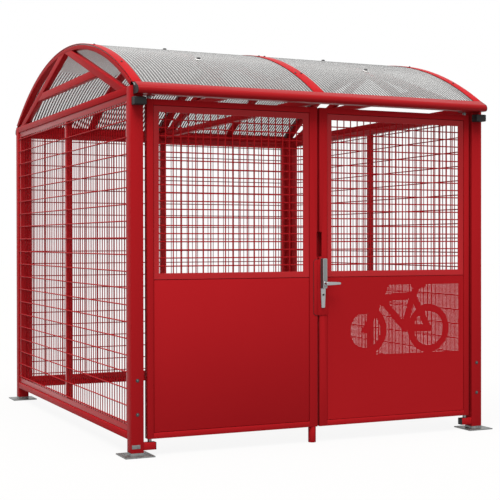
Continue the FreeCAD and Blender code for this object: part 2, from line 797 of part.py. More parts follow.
def figure_distance(x, z):
    """Distance from a point of the panel to the plain figure of a bicycle, negative inside it."""
    def joint(name):
        return value(f"figure_{name}_x"), value(f"figure_{name}_z")

    def to_bar(start, end):
        along = (end[0] - start[0], end[1] - start[1])
        share = ((x - start[0]) * along[0] + (z - start[1]) * along[1]) / (along[0] ** 2 + along[1] ** 2)
        share = min(max(share, 0), 1)
        nearest = (start[0] + share * along[0], start[1] + share * along[1])
        return math.dist((x, z), nearest) - value("figure_bar")

    hubs = [(value(name), value("wheel_z")) for name in ("front_wheel_x", "rear_wheel_x")]
    head, seat, crank, saddle = (joint(name) for name in ("head", "seat", "crank", "saddle"))
    reach = value("figure_saddle_reach")
    saddle_ends = ((saddle[0] - reach, saddle[1]), (saddle[0] + reach, saddle[1]))
    bars = [(hubs[0], head), (head, seat), (head, crank), (crank, seat), (seat, saddle), saddle_ends,
            (crank, hubs[1]), (seat, hubs[1])]
    distances = [to_bar(*bar) for bar in bars]
    for hub in hubs:
        radius = math.dist((x, z), hub)
        distances.append(max(value("wheel_inner") - radius, radius - value("wheel_outer")))
    return min(distances)


def perforations(low_x, high_x, low_z, high_z):
    """Square holes on a regular grid, in the field round the figure and inside its front wheel."""
    pitch = value("perforation_pitch")
    half = value("perforation_side") / 2
    corner = math.hypot(half, half)
    hub = (value("front_wheel_x"), value("wheel_z"))
    left = value("front_wheel_x") - value("wheel_inner")
    for column in range(math.ceil((value("field_right") - left) / pitch)):
        for row in range(math.ceil((value("field_top") - value("field_bottom")) / pitch)):
            x = left + (column + 0.5) * pitch
            z = value("field_bottom") + (row + 0.5) * pitch
            below_head = z < value("figure_head_z")
            edge = value("field_left") if below_head else value("figure_head_x") + value("figure_bar")
            in_field = edge < x - half and x + half < value("field_right")
            in_wheel = math.dist((x, z), hub) < value("wheel_inner")
            if (in_field or in_wheel) and z + half < value("field_top") and figure_distance(x, z) > corner:
                yield x - half, x + half, z - half, z + half


def leaf_body(hand, left):
    """The fixed pieces of one leaf. The edges of both leaves are mirror images."""
    def across(low, high):
        return span(low, high, left)

    between = across("meeting_inner", "hinge_inner")
    axis_x = "-pivot_x" if left else "pivot_x"
    edge_x = across("meeting_edge", "meeting_edge + tube_wall")
    clear = "mortise_clear" if left else "bolt_clear"
    meeting = tube(across("meeting_edge", "meeting_inner"), leaf_y, leaf_z, "z")
    openings = [box(across("meeting_edge", f"meeting_edge + notch_depth_{hand}"),
                    ("-half_depth", "-half_depth + notch_reach"), ("notch_bottom", "notch_top"))]
    for level in bolt_levels:
        openings.append(box(edge_x, about("leaf_mid", f"bolt_thick / 2 + {clear}"),
                            about(level, f"bolt_height / 2 + {clear}")))
    if left:
        reach = "knob_pin_radius + knob_slot_clear"
        openings.append(box(about("-drop_rod_x", reach), ("leaf_back - tube_wall", "leaf_back"),
                            (f"knob_level - drop_travel - ({reach})", f"knob_level + {reach}")))
    else:
        openings.append(rod("spindle_side / sqrt(2) + spindle_clear", "lock_x", leaf_y, "lever_height"))
        openings.append(rod("cylinder_radius + cylinder_clear", "lock_x", leaf_y, "key_height"))
    foot_z = ("leaf_bottom", "leaf_bottom + leaf_rail")
    head_z = ("leaf_top - leaf_rail", "leaf_top")
    ledge_y = ("ledge_front", "ledge_back")
    window_z = ("sill_height", head_z[0])
    panel_z = (foot_z[1], "sill_height")
    node(f"leaf_{hand}_frame",
         tube(across("hinge_inner", "hinge_edge"), leaf_y, leaf_z, "z"),
         cut(meeting, *openings),
         tube(between, leaf_y, foot_z, "x"),
         tube(between, leaf_y, head_z, "x"),
         tube(between, ("ledge_back", "leaf_back"), about("sill_height", "mid_rail_height / 2"), "x"),
         ring(between, ledge_y, window_z, "ledge_width"),
         ring(between, ledge_y, panel_z, "ledge_width"))

    bead_x = inset(between, "bead_groove")
    bead_z = ("sill_height + bead_groove / 2", f"{window_z[1]} - bead_groove")
    bead_y = ("bead_front", "bead_back")
    bevel_x = (inset(bead_x, "bead_rim"), inset(bead_x, "bead_width"))
    bevel_z = (inset(bead_z, "bead_rim"), inset(bead_z, "bead_width"))
    bevel = bind(doc.addObject("Part::Wedge", "bevel"), Ymin=bead_y[0], Ymax=f"{bead_y[1]} - bead_lip",
                 Xmin=bevel_x[0][0], Xmax=bevel_x[0][1], X2min=bevel_x[1][0], X2max=bevel_x[1][1],
                 Zmin=bevel_z[0][0], Zmax=bevel_z[0][1], Z2min=bevel_z[1][0], Z2max=bevel_z[1][1])
    node(f"leaf_{hand}_bead", cut(ring(bead_x, bead_y, bead_z, "bead_width"), bevel))
    net_space = box(bead_x, ("bead_back", "ledge_front"), bead_z)
    node(f"leaf_{hand}_net", net(net_space, "leaf_net_across", "leaf_net_up"))

    tray_x = bead_x
    tray_z = (f"{panel_z[0]} + bead_groove", f"{panel_z[1]} - bead_groove / 2")
    sheet_y = ("bead_front", "bead_front + panel_sheet")
    flange = ring(tray_x, (sheet_y[1], "ledge_front"), tray_z, "panel_sheet")
    face = box(tray_x, sheet_y, tray_z)
    if not left:
        doc.recompute()
        face = holed_plate(face, perforations)
    node(f"leaf_{hand}_panel", flange, face)

    bushes = []
    for stub_z, pin_z, shoulder_z, bush_z in levels.values():
        bush = box(inset(across("hinge_inner", "hinge_edge"), "tube_wall"), inset(leaf_y, "tube_wall"), bush_z)
        bushes.append(cut(bush, rod("pin_radius + running_clear", axis_x, "leaf_mid", bush_z)))
    node(f"leaf_{hand}_bushes", *bushes)


for hand, left in LEFT_RIGHT.items():
    leaf_body(hand, left)

# Cover plates that close the gap between the leaves in front, with a seam so that each leaf opens alone
cover_y = ("cover_front", "-half_depth")
cover_z = ("cover_bottom", "cover_top")
spindle_hole = "spindle_side / sqrt(2) + spindle_clear"
cylinder_hole = "cylinder_radius + cylinder_clear"
cover = box(("-meeting_edge + cover_seam", "meeting_inner"), cover_y, cover_z)
node("cover_plate", cut(cover, rod(spindle_hole, "lock_x", cover_y, "lever_height"),
                        rod(cylinder_hole, "lock_x", cover_y, "key_height")))
strike = box(("-meeting_edge - strike_width", "-meeting_edge"), cover_y, cover_z)
corners = []
for level in cover_z:
    side = ("0", "strike_corner * sqrt(2)")
    corner = turn(box(side, cover_y, side), Vector(0, 1, 0), 45)
    corners.append(place(corner, "-meeting_edge - strike_width - strike_corner", "cover_front", level))
node("strike_plate", cut(strike, *corners))

# Lock case in the right meeting stile, with its outer and inner plates
case_x = ("meeting_edge + tube_wall", "meeting_inner - tube_wall")
case_y = about("leaf_mid", "case_thick / 2")
case_z = ("case_bottom", "case_top")
case = cut(box(case_x, case_y, case_z),
           box(inset(case_x, "case_wall"), inset(case_y, "case_wall"), inset(case_z, "case_wall")))
mouths = [box((case_x[0], f"{case_x[0]} + case_wall"), about("leaf_mid", "bolt_thick / 2 + bolt_clear"),
              about(level, "bolt_height / 2 + bolt_clear")) for level in bolt_levels]
node("lock_case", cut(case, *mouths, rod(spindle_hole, "lock_x", case_y, "lever_height"),
                      rod(cylinder_hole, "lock_x", case_y, "key_height")))
plate_x = about("lock_x", "lock_plate_width / 2")
outer_y = ("housing_front", "cover_front")
inner_y = ("leaf_back", "inner_plate_back")
foot_x = about("lock_x", "lock_plate_foot / 2")
taper = bind(doc.addObject("Part::Wedge", "taper"), Ymin="lock_plate_bottom", Ymax="housing_bottom",
             Xmin=foot_x[0], Xmax=foot_x[1], X2min=plate_x[0], X2max=plate_x[1],
             Zmin="-cover_front", Zmax="-lock_plate_front", Z2min="-cover_front", Z2max="-lock_plate_front")
outer_plate = fuse(turn(taper, Vector(1, 0, 0), 90),
                   box(about("lock_x", "housing_width / 2"), outer_y, ("housing_bottom", "housing_top")))
neck_hole = "neck_radius + running_clear"
neck_y = ("housing_front", "housing_front + neck_seat")
node("lock_plate_outer", cut(outer_plate, rod(spindle_hole, "lock_x", outer_y, "lever_height"),
                             rod(neck_hole, "lock_x", neck_y, "lever_height"),
                             rod(cylinder_hole, "lock_x", outer_y, "key_height")))
inner_plate = box(plate_x, inner_y, ("lock_plate_bottom", "housing_top"))
node("lock_plate_inner", cut(inner_plate, rod(neck_hole, "lock_x", inner_y, "lever_height"),
                             rod(cylinder_hole, "lock_x", inner_y, "key_height")))

# Levers on a square spindle, the key cylinder and the two bolts, drawn back at rest
half_spindle = "spindle_side / 2"
spindle_ends = ("housing_front - neck_length / 2", "inner_plate_back + neck_length / 2")
spindle = box(about("lock_x", half_spindle), spindle_ends, about("lever_height", half_spindle))
grip_x = ("lock_x - neck_radius", "lock_x - neck_radius + grip_length")
grip_z = about("lever_height", "grip_height / 2")
outer_neck_y = ("housing_front - neck_length", "housing_front + neck_seat - axial_clear")
outer_neck = rod("neck_radius", "lock_x", outer_neck_y, "lever_height")
outer_grip = box(grip_x, (f"{outer_neck_y[0]} - grip_depth", outer_neck_y[0]), grip_z)
inner_neck_y = ("inner_plate_back - neck_seat", "inner_plate_back + neck_length")
inner_neck = rod("neck_radius", "lock_x", inner_neck_y, "lever_height")
inner_grip = box(grip_x, (inner_neck_y[1], f"{inner_neck_y[1]} + grip_depth"), grip_z)
node("lever_outer", cut(fuse(outer_neck, outer_grip), spindle))
node("lever_inner", cut(fuse(inner_neck, inner_grip), spindle))
node("lever_spindle", spindle)
for label, level in zip(("latch_bolt", "deadbolt"), bolt_levels):
    node(label, box(("meeting_edge + bolt_inset", "meeting_edge + bolt_inset + bolt_length"),
                    about("leaf_mid", "bolt_thick / 2"), about(level, "bolt_height / 2")))
cylinder_y = ("cylinder_front", "inner_plate_back + cylinder_proud")
plug_y = ("cylinder_front", "cylinder_front + key_plug_length")
key_plug = rod("key_plug_radius", "lock_x", (plug_y[0], f"{plug_y[1]} - axial_clear"), "key_height")
key_slot = box(about("lock_x", "key_slot_width / 2"), plug_y, about("key_height", "key_slot_height / 2"))
node("lock_cylinder", cut(rod("cylinder_radius", "lock_x", cylinder_y, "key_height"),
                          rod("key_plug_radius + running_clear", "lock_x", plug_y, "key_height")))
node("key_plug", cut(key_plug, key_slot))

# Drop bolt in the left meeting stile, its guides and the keeper that stands on the ground
guide_x = span(*case_x, True)
guide_y = inset(leaf_y, "tube_wall")
guides = []
for low in ("leaf_bottom", "guide_level"):
    guide_z = (low, f"{low} + guide_height")
    guides.append(cut(box(guide_x, guide_y, guide_z),
                      rod("drop_rod_radius + running_clear", "-drop_rod_x", "leaf_mid", guide_z)))
node("drop_bolt_guides", *guides)
knob_y = ("leaf_back + knob_offset", "leaf_back + knob_offset + knob_length")
node("drop_bolt", fuse(
    rod("drop_rod_radius", "-drop_rod_x", "leaf_mid", ("drop_rod_bottom", "drop_rod_top")),
    rod("knob_pin_radius", "-drop_rod_x", ("leaf_mid", knob_y[0]), "knob_level"),
    rod("knob_radius", "-drop_rod_x", knob_y, "knob_level")))
node("foot_keeper", cut(rod("keeper_radius", "-drop_rod_x", "leaf_mid", ("0", "keeper_top")),
                        rod("drop_rod_radius + keeper_bore_clear", "-drop_rod_x", "leaf_mid",
                            ("keeper_bore_floor", "keeper_top"))))

# Check every object, then write each piece to its own file
doc.recompute()
faults = [item.Label for item in doc.Objects if {"Invalid", "Error"} & set(item.State)]
faults.extend(item.Label for item in nodes
              if item.Shape.isNull() or not item.Shape.isValid() or not item.Shape.Solids)
if faults:
    raise RuntimeError("failed pieces: " + ", ".join(faults))
os.makedirs("parts", exist_ok=True)
for item in nodes:
    item.Shape.exportStep(f"parts/{item.Label}.step")
print(len(nodes), "pieces written")
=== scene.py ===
"""Looks of a red steel bicycle shelter with a barrel roof, net walls and a double door."""
import json
import math

import bmesh
import bpy
from mathutils import Euler, Matrix, Vector


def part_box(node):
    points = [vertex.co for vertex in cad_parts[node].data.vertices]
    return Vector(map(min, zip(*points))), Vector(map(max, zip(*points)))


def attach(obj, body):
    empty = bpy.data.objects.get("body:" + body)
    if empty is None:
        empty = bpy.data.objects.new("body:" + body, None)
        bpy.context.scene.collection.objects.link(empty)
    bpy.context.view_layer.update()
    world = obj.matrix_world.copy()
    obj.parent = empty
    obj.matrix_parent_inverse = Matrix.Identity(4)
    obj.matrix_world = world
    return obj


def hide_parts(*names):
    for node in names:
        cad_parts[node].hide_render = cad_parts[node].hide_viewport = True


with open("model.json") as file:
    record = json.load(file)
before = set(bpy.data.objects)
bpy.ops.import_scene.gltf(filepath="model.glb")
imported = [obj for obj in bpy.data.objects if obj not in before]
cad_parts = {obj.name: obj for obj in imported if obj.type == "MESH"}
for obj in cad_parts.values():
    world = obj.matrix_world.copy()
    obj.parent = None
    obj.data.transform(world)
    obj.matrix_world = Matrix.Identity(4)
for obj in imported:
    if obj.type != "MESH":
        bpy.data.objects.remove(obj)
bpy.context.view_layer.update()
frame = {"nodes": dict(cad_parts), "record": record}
nodes = frame["nodes"]
record = frame["record"]
body_of = {node: body for body, members in record["behaviour"]["bodies"].items() for node in members}
slot_of = {part["node"]: part["material_slot"] for part in record["subparts"]}

# Camera fitted to the photograph: place and reach in metres, turns in degrees, lens in millimetres
CAMERA_PLACE = (-3.5712, -8.1707, 1.3045)
CAMERA_REACH = 200
CAMERA_YAW = 24.681
CAMERA_PITCH = -0.419
CAMERA_ROLL = -0.077
CAMERA_LENS = 84.11
SENSOR_WIDTH = 36

# Light: share of the white surroundings that falls on the object, and one wide lamp overhead, in degrees
AMBIENT = 0.58
LAMP_POWER = 4.4
LAMP_COLOUR = (1.0, 0.96, 0.90)
LAMP_SPREAD = 50
LAMP_TILT = (16, -12, 0)

# Meshes: points closer than a micrometre are one, and edges sharper than these angles in degrees are rounded or creased
POINT_DIGITS = 6
POINT_GAP = 1e-6
SHARP = 28
CREASE = 32
SOFT_CREASE = 40
EDGE_STEPS = 2

# Planes of the front along Y, in metres, and the way it faces
POST_FRONT = -1.465
COVER_FRONT = -1.469
LOWER_PLATE_FRONT = -1.477
HOUSING_FRONT = -1.504
FORWARD = (0, -1, 0)

# Colours as linear light
RED = (0.400, 0.0120, 0.0160, 1)
RED_DEEP = (0.365, 0.0100, 0.0140, 1)
ZINC_LIGHT = (0.29, 0.30, 0.30, 1)
ZINC_DARK = (0.12, 0.13, 0.13, 1)
WASHER_LIGHT = (0.82, 0.82, 0.82, 1)
WASHER_DARK = (0.60, 0.60, 0.61, 1)
STEEL_DARK = (0.020, 0.020, 0.022, 1)
STEEL_WORN = (0.055, 0.055, 0.060, 1)
SKIN_GREY = (0.62, 0.63, 0.64, 1)
SKIN_PALE = (0.74, 0.75, 0.76, 1)
RIB_GREY = (0.050, 0.051, 0.053, 1)
RIB_PALE = (0.085, 0.087, 0.090, 1)
BLACK = (0.010, 0.010, 0.011, 1)
BLACK_WORN = (0.020, 0.020, 0.021, 1)
SATIN = (0.28, 0.29, 0.30, 1)
SATIN_LIGHT = (0.46, 0.47, 0.48, 1)
CAST_AND_REFLECTION_DARK = (0.060, 0.066, 0.068, 1)
CAST_AND_REFLECTION_LIGHT = (0.115, 0.125, 0.128, 1)
CAST_FACE = (0.175, 0.192, 0.192, 1)
CAST_FACE_LIGHT = (0.29, 0.31, 0.31, 1)
NICKEL = (0.34, 0.33, 0.31, 1)
NICKEL_LIGHT = (0.46, 0.45, 0.43, 1)
FLOOR_GREY = (0.26, 0.26, 0.26, 1)
FLOOR_WHITE = (0.54, 0.54, 0.54, 1)
WHITE = (1, 1, 1, 1)


class Socket:
    """A shader value whose sums add Math nodes."""

    def __init__(self, finish, socket):
        self.finish = finish
        self.socket = socket

    def sum(self, operation, first, second):
        return self.finish.add("ShaderNodeMath", {"operation": operation}, {0: first, 1: second})

    def __add__(self, other):
        return self.sum("ADD", self, other)

    def __radd__(self, other):
        return self.sum("ADD", other, self)

    def __mul__(self, other):
        return self.sum("MULTIPLY", self, other)

    def __rmul__(self, other):
        return self.sum("MULTIPLY", other, self)

    def highest(self, other):
        return self.sum("MAXIMUM", self, other)


class Finish:
    """A material, or the surroundings, and the nodes in it."""

    def __init__(self, owner):
        owner.use_nodes = True
        self.owner = owner
        self.tree = owner.node_tree
        self.tree.nodes.clear()

    def add(self, kind, settings=None, sockets=None, output=0):
        """Add a node, set its settings, then fill or link its sockets."""
        item = self.tree.nodes.new(kind)
        for name, setting in (settings or {}).items():
            setattr(item, name, setting)
        for name, content in (sockets or {}).items():
            if isinstance(content, Socket):
                self.tree.links.new(content.socket, item.inputs[name])
            else:
                item.inputs[name].default_value = content
        return Socket(self, item.outputs[output]) if len(item.outputs) else None

    def place(self, stretch=(1, 1, 1)):
        """Position in the shelter's own frame, in metres, stretched along its axes."""
        plain = self.add("ShaderNodeTexCoord", output="Object")
        return self.add("ShaderNodeVectorMath", {"operation": "MULTIPLY"}, {0: plain, 1: stretch})

    def noise(self, scale, detail=2, stretch=(1, 1, 1)):
        return self.add("ShaderNodeTexNoise", {}, {"Vector": self.place(stretch), "Scale": scale, "Detail": detail})

    def colour(self, factor, first, second):
        return self.add("ShaderNodeMix", {"data_type": "RGBA"}, {0: factor, 6: first, 7: second}, 2)

    def relief(self, height, strength, distance):
        return self.add("ShaderNodeBump", {}, {"Height": height, "Strength": strength, "Distance": distance})

    def seen(self):
        """One where a surface is seen straight, mirrored or through a clear one, and zero where it only sheds light."""
        kinds = ("Is Camera Ray", "Is Glossy Ray", "Is Transmission Ray")
        straight, mirrored, through = [self.add("ShaderNodeLightPath", output=kind) for kind in kinds]
        return straight.highest(mirrored).highest(through)

    def surface(self, **sockets):
        """End the material in one shader."""
        named = {name.replace("_", " "): content for name, content in sockets.items()}
        shader = self.add("ShaderNodeBsdfPrincipled", {}, named)
        self.add("ShaderNodeOutputMaterial", {}, {"Surface": shader})
        return self.owner


def finish(name):
    return Finish(bpy.data.materials.new(name))


def shaded(colour, share):
    return (*(share * part for part in colour[:3]), 1)


def powder_coat(name, shade, gloss):
    """Red powder coat with a slight orange peel and a slow drift of tone."""
    coat = finish(name)
    drift = coat.noise(scale=1.3, detail=3)
    speck = coat.noise(scale=420)
    tone = coat.colour(drift, shaded(RED_DEEP, shade), shaded(RED, shade))
    return coat.surface(Base_Color=tone, Roughness=0.28 + 0.10 * coat.noise(scale=6), Specular_IOR_Level=gloss,
                        Normal=coat.relief(speck, strength=0.05, distance=0.0006))


def galvanised(name, dark, light):
    """Zinc with its spangle and a little dull weathering."""
    metal = finish(name)
    spangle = metal.add("ShaderNodeTexVoronoi", {}, {"Vector": metal.place(), "Scale": 70}, "Color")
    grain = metal.add("ShaderNodeSeparateColor", {}, {0: spangle})
    dull = metal.noise(scale=14, detail=4)
    tone = metal.colour(0.55 * grain + 0.45 * dull, dark, light)
    return metal.surface(Base_Color=tone, Metallic=0.9, Roughness=0.34 + 0.22 * dull,
                         Normal=metal.relief(metal.noise(scale=160, detail=3), strength=0.08, distance=0.0006))


def moulded_plastic(name):
    """Matt black moulded plastic with a fine grain."""
    plastic = finish(name)
    grain = plastic.noise(scale=900)
    tone = plastic.colour(plastic.noise(scale=40, detail=4), BLACK, BLACK_WORN)
    return plastic.surface(Base_Color=tone, Roughness=0.5 + 0.16 * grain, Specular_IOR_Level=0.2,
                           Normal=plastic.relief(grain, strength=0.18, distance=0.0005))


def brushed(name, dark, light, roughness, metallic=1.0):
    """Metal brushed along its height."""
    metal = finish(name)
    lines = metal.noise(scale=60, detail=3, stretch=(22, 22, 1))
    tone = metal.colour(lines, dark, light)
    return metal.surface(Base_Color=tone, Metallic=metallic, Roughness=roughness + 0.14 * lines,
                         Normal=metal.relief(lines, strength=0.10, distance=0.0003))


def clear_sheet(name, dark, light, alpha, sheen):
    """Translucent plastic with faint extrusion lines along the arch, paler where it is seen edge on."""
    sheet = finish(name)
    lines = sheet.noise(scale=30, detail=3, stretch=(26, 0.6, 0.6))
    tone = sheet.colour(lines, dark, light)
    slant = sheet.add("ShaderNodeLayerWeight", {}, {"Blend": 0.5}, "Facing")
    return sheet.surface(Base_Color=tone, Roughness=0.20 + 0.12 * lines, Alpha=alpha + sheen * slant * slant,
                         Normal=sheet.relief(lines, strength=0.05, distance=0.0005))


red_coat = powder_coat("red_powder_coat", shade=1, gloss=0.01)
red_bead = powder_coat("red_bead_gloss", shade=1, gloss=0.18)
red_wire = powder_coat("red_wire_coat", shade=0.96, gloss=0.01)
# The gutters take the red coat darkened to 0.78 of its tone: painted shade for the shade that falls on their lower half
gutter_painted_shade = powder_coat("gutter_coat_painted_shade", shade=0.78, gloss=0.04)
zinc = galvanised("galvanised_steel", ZINC_DARK, ZINC_LIGHT)
bright_zinc = galvanised("bright_washer", WASHER_DARK, WASHER_LIGHT)
black = moulded_plastic("black_plastic")
satin = brushed("satin_steel", SATIN, SATIN_LIGHT, roughness=0.24)
# Darker tone of the lock's cast metal, also on the post bolt caps: on the housing's sides this dark is painted
# reflection
cast_and_reflection = brushed("cast_and_painted_reflection", CAST_AND_REFLECTION_DARK, CAST_AND_REFLECTION_LIGHT, roughness=0.38, metallic=0.5)
cast_face = brushed("cast_housing_face", CAST_FACE, CAST_FACE_LIGHT, roughness=0.30)
nickel = brushed("nickel", NICKEL, NICKEL_LIGHT, roughness=0.22)
dark_steel = brushed("blackened_steel", STEEL_DARK, STEEL_WORN, roughness=0.32, metallic=0.6)
sheet_skin = clear_sheet("roof_sheet_skin", SKIN_GREY, SKIN_PALE, alpha=0.05, sheen=0.80)
sheet_rib = clear_sheet("roof_sheet_rib", RIB_GREY, RIB_PALE, alpha=0.94, sheen=0.05)
finish_of_slot = {"red_paint": red_coat, "net_paint": red_wire, "roof_sheet": sheet_skin, "zinc_steel": zinc,
                  "dark_steel": dark_steel, "black_plastic": black, "satin_metal": satin, "lock_metal": nickel}

# Every solid gets its finish first; those that stay visible keep it
for name, solid in nodes.items():
    solid.data.materials.clear()
    solid.data.materials.append(dark_steel if name == "key_plug" else finish_of_slot[slot_of[name]])


def piece(name, shape, coats, crease=CREASE):
    """Turn built geometry into an object with smooth curves and sharp corners."""
    bmesh.ops.recalc_face_normals(shape, faces=shape.faces)
    mesh = bpy.data.meshes.new(name)
    shape.to_mesh(mesh)
    shape.free()
    mesh.shade_smooth()
    mesh.set_sharp_from_angle(angle=math.radians(crease))
    for coat in coats:
        mesh.materials.append(coat)
    item = bpy.data.objects.new(name, mesh)
    bpy.context.scene.collection.objects.link(item)
    return item


def stand_for(item, name):
    """Let a piece take the place of a solid, on its body."""
    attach(item, body_of[name])
    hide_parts(name)


def trim(item, body):
    """Carry a piece that no solid has on a body."""
    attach(item, body)


def welded(mesh):
    """Geometry of a node with its points joined, solid by solid, so that solids that touch stay apart."""
    shape = bmesh.new()
    points, open_edges = {}, set()
    for polygon in mesh.polygons:
        spots = [mesh.vertices[index].co.to_tuple(POINT_DIGITS) for index in polygon.vertices]
        if len(set(spots)) < len(spots):
            continue
        for spot in spots:
            if spot not in points:
                points[spot] = shape.verts.new(spot)
        shape.faces.new([points[spot] for spot in spots])
        # An edge met twice is closed; with none left open the solid ends and the next one gets its own points
        open_edges ^= {frozenset(ends) for ends in zip(spots, spots[1:] + spots[:1])}
        if not open_edges:
            points = {}
    shape.normal_update()
    return shape


def dressed(name, radius, coat):
    """A solid with its sharp edges rounded over, in its slot's finish if no coat is given."""
    shape = welded(nodes[name].data)
    sharp = [edge for edge in shape.edges
             if len(edge.link_faces) == 2 and edge.calc_face_angle() > math.radians(SHARP)]
    bmesh.ops.bevel(shape, geom=sharp, offset=radius, segments=EDGE_STEPS, profile=0.5, affect="EDGES",
                    clamp_overlap=True)
    bmesh.ops.dissolve_degenerate(shape, dist=POINT_GAP, edges=shape.edges)
    stand_for(piece("dressed_" + name, shape, [coat or finish_of_slot[slot_of[name]]]), name)


def loft(shape, rings, material=0):
    """Skin a row of rings that have as many points each, and close both ends."""
    rows = [[shape.verts.new(point) for point in ring] for ring in rings]
    count = len(rows[0])
    faces = [shape.faces.new([row[i], row[(i + 1) % count], above[(i + 1) % count], above[i]])
             for row, above in zip(rows, rows[1:]) for i in range(count)]
    faces.extend([shape.faces.new(rows[0]), shape.faces.new(rows[-1])])
    for face in faces:
        face.material_index = material


def turned(shape, profile, place, axis, sides, material=0):
    """A lathe piece: profile of radius and height, standing at a place along an axis."""
    stand = Matrix.Translation(place) @ Vector(axis).to_track_quat("Z", "Y").to_matrix().to_4x4()
    angles = [2 * math.pi * step / sides for step in range(sides)]
    loft(shape, [[stand @ Vector((radius * math.cos(angle), radius * math.sin(angle), height)) for angle in angles]
                 for radius, height in profile], material)


# Frame, leaves and small parts: radius of their rounded edges in metres, a coat other than the slot's, and the solids
ROUNDED = [
    (0.0022, None, ["post_front_left", "post_front_right", "post_rear_left", "post_rear_right", "bottom_rails",
                    "eaves_rail", "truss_left", "truss_middle", "truss_right", "bay_ribs", "pivot_stubs",
                    "leaf_left_frame", "leaf_right_frame", "foot_keeper"]),
    (0.0012, None, ["cover_strip_left", "cover_strip_middle", "cover_strip_right", "cover_plate", "strike_plate",
                    "base_plates", "stub_caps", "pivot_pins", "gutter_end_caps"]),
    (0.0008, None, ["lock_plate_inner", "drop_bolt"]),
    (0.0016, None, ["leaf_left_panel"]),
    (0.0025, None, ["door_stops"]),
    (0.0016, red_bead, ["leaf_left_bead", "leaf_right_bead", "panel_frame_left", "panel_frame_right",
                        "panel_frame_rear"]),
    # Gutters in the darkened red coat, painted shade
    (0.0012, gutter_painted_shade, ["gutter_front", "gutter_rear"]),
]
for radius, coat, names in ROUNDED:
    for name in names:
        dressed(name, radius, coat)

# Welded nets of upright and level wires: radius and pitch in metres
WALL_UPRIGHT = 0.0032
WALL_LEVEL = 0.0040
WALL_ACROSS = 0.05
WALL_UP = 0.1025
LEAF_WIRE = 0.0039
LEAF_PITCH = 0.05
WIRE_SIDES = 8
WELD_SHARE = 0.7
PANEL_TUBE = 0.040


def rod(shape, start, end, radius):
    """A straight round wire."""
    along = Vector(end) - Vector(start)
    turned(shape, [(radius, 0), (radius, along.length)], start, along, WIRE_SIDES)


def evenly(low, high, pitch):
    """Places at a pitch, with an equal rest at both ends."""
    count = round((high - low) / pitch)
    first = low + (high - low - (count - 1) * pitch) / 2
    return [first + step * pitch for step in range(count)]


def net(name, thin, run, rise, columns, rows):
    """A net across a thin direction, 0 for X or 1 for Y. Columns and rows give places, a layer and a radius each."""
    shape = bmesh.new()

    def point(along, height, layer):
        spot = [along, along, height]
        spot[thin] = layer
        return spot

    places, layer, radius = columns
    for along in places:
        rod(shape, point(along, rise[0], layer), point(along, rise[1], layer), radius)
    places, layer, radius = rows
    for height in places:
        rod(shape, point(run[0], height, layer), point(run[1], height, layer), radius)
    stand_for(piece("wires_" + name, shape, [red_wire]), name)


# On the walls the level wires cross the frame's outer face and the uprights stand between its tubes
for hand, thin, outside in (("left", 0, -1), ("right", 0, 1), ("rear", 1, 1)):
    low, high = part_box(f"panel_frame_{hand}")
    face = high[thin] if outside > 0 else low[thin]
    run = (low[1 - thin], high[1 - thin])
    rise = (low[2] + PANEL_TUBE, high[2] - PANEL_TUBE)
    bays = [(run[0] + PANEL_TUBE, -PANEL_TUBE / 2), (PANEL_TUBE / 2, run[1] - PANEL_TUBE)]
    columns = [along for bay in bays for along in evenly(*bay, WALL_ACROSS)]
    rows = evenly(rise[0] - WALL_UP / 4, rise[1] + WALL_UP / 4, WALL_UP)
    net(f"panel_net_{hand}", thin, run, rise, (columns, face - outside * WALL_UPRIGHT, WALL_UPRIGHT),
        (rows, face + outside * WALL_LEVEL * WELD_SHARE, WALL_LEVEL))

# In the leaves the uprights lie in front of the level wires
for hand in ("left", "right"):
    low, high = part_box(f"leaf_{hand}_net")
    middle = (low[1] + high[1]) / 2
    lift = LEAF_WIRE * WELD_SHARE
    net(f"leaf_{hand}_net", 1, (low[0], high[0]), (low[2], high[2]),
        (evenly(low[0], high[0], LEAF_PITCH), middle - lift, LEAF_WIRE),
        (evenly(low[2], high[2], LEAF_PITCH), middle + lift, LEAF_WIRE))

# Translucent roof sheets with dark flat ribs on the outer skin that run over the arch, in metres
ARCH_CENTRE = -0.096
SHEET_INNER = 2.778
SHEET_OUTER = 2.786
STRIP_OUTER = 2.790
SHEET_TURN = math.radians(32.57)
SHEET_STEPS = 56
RIB_PITCH = 0.0220
RIB_WIDE = 0.0120
RIB_DEEP = 0.0012
RIB_PROUD = 0.0006


def over_arch(x, radius, angle):
    """A point over the roof, turned from the ridge about the axis of the arch."""
    return Vector((x, -radius * math.sin(angle), ARCH_CENTRE + radius * math.cos(angle)))


def arched_bar(shape, sides, radii, material):
    """A bar over the whole arch, between two sides and two radii."""
    (left, right), (inner, outer) = sides, radii
    section = [(left, inner), (right, inner), (right, outer), (left, outer)]
    angles = [SHEET_TURN * (2 * step / SHEET_STEPS - 1) for step in range(SHEET_STEPS + 1)]
    loft(shape, [[over_arch(x, radius, angle) for x, radius in section] for angle in angles], material)


for name in ("roof_sheet_left", "roof_sheet_right"):
    low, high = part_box(name)
    sheet = bmesh.new()
    arched_bar(sheet, (low[0], high[0]), (SHEET_INNER, SHEET_OUTER - RIB_PROUD), 0)
    for middle in evenly(low[0], high[0], RIB_PITCH):
        sides = (middle - RIB_WIDE / 2, middle + RIB_WIDE / 2)
        arched_bar(sheet, sides, (SHEET_OUTER - RIB_DEEP, SHEET_OUTER), 1)
    stand_for(piece("ribbed_" + name, sheet, [sheet_skin, sheet_rib]), name)

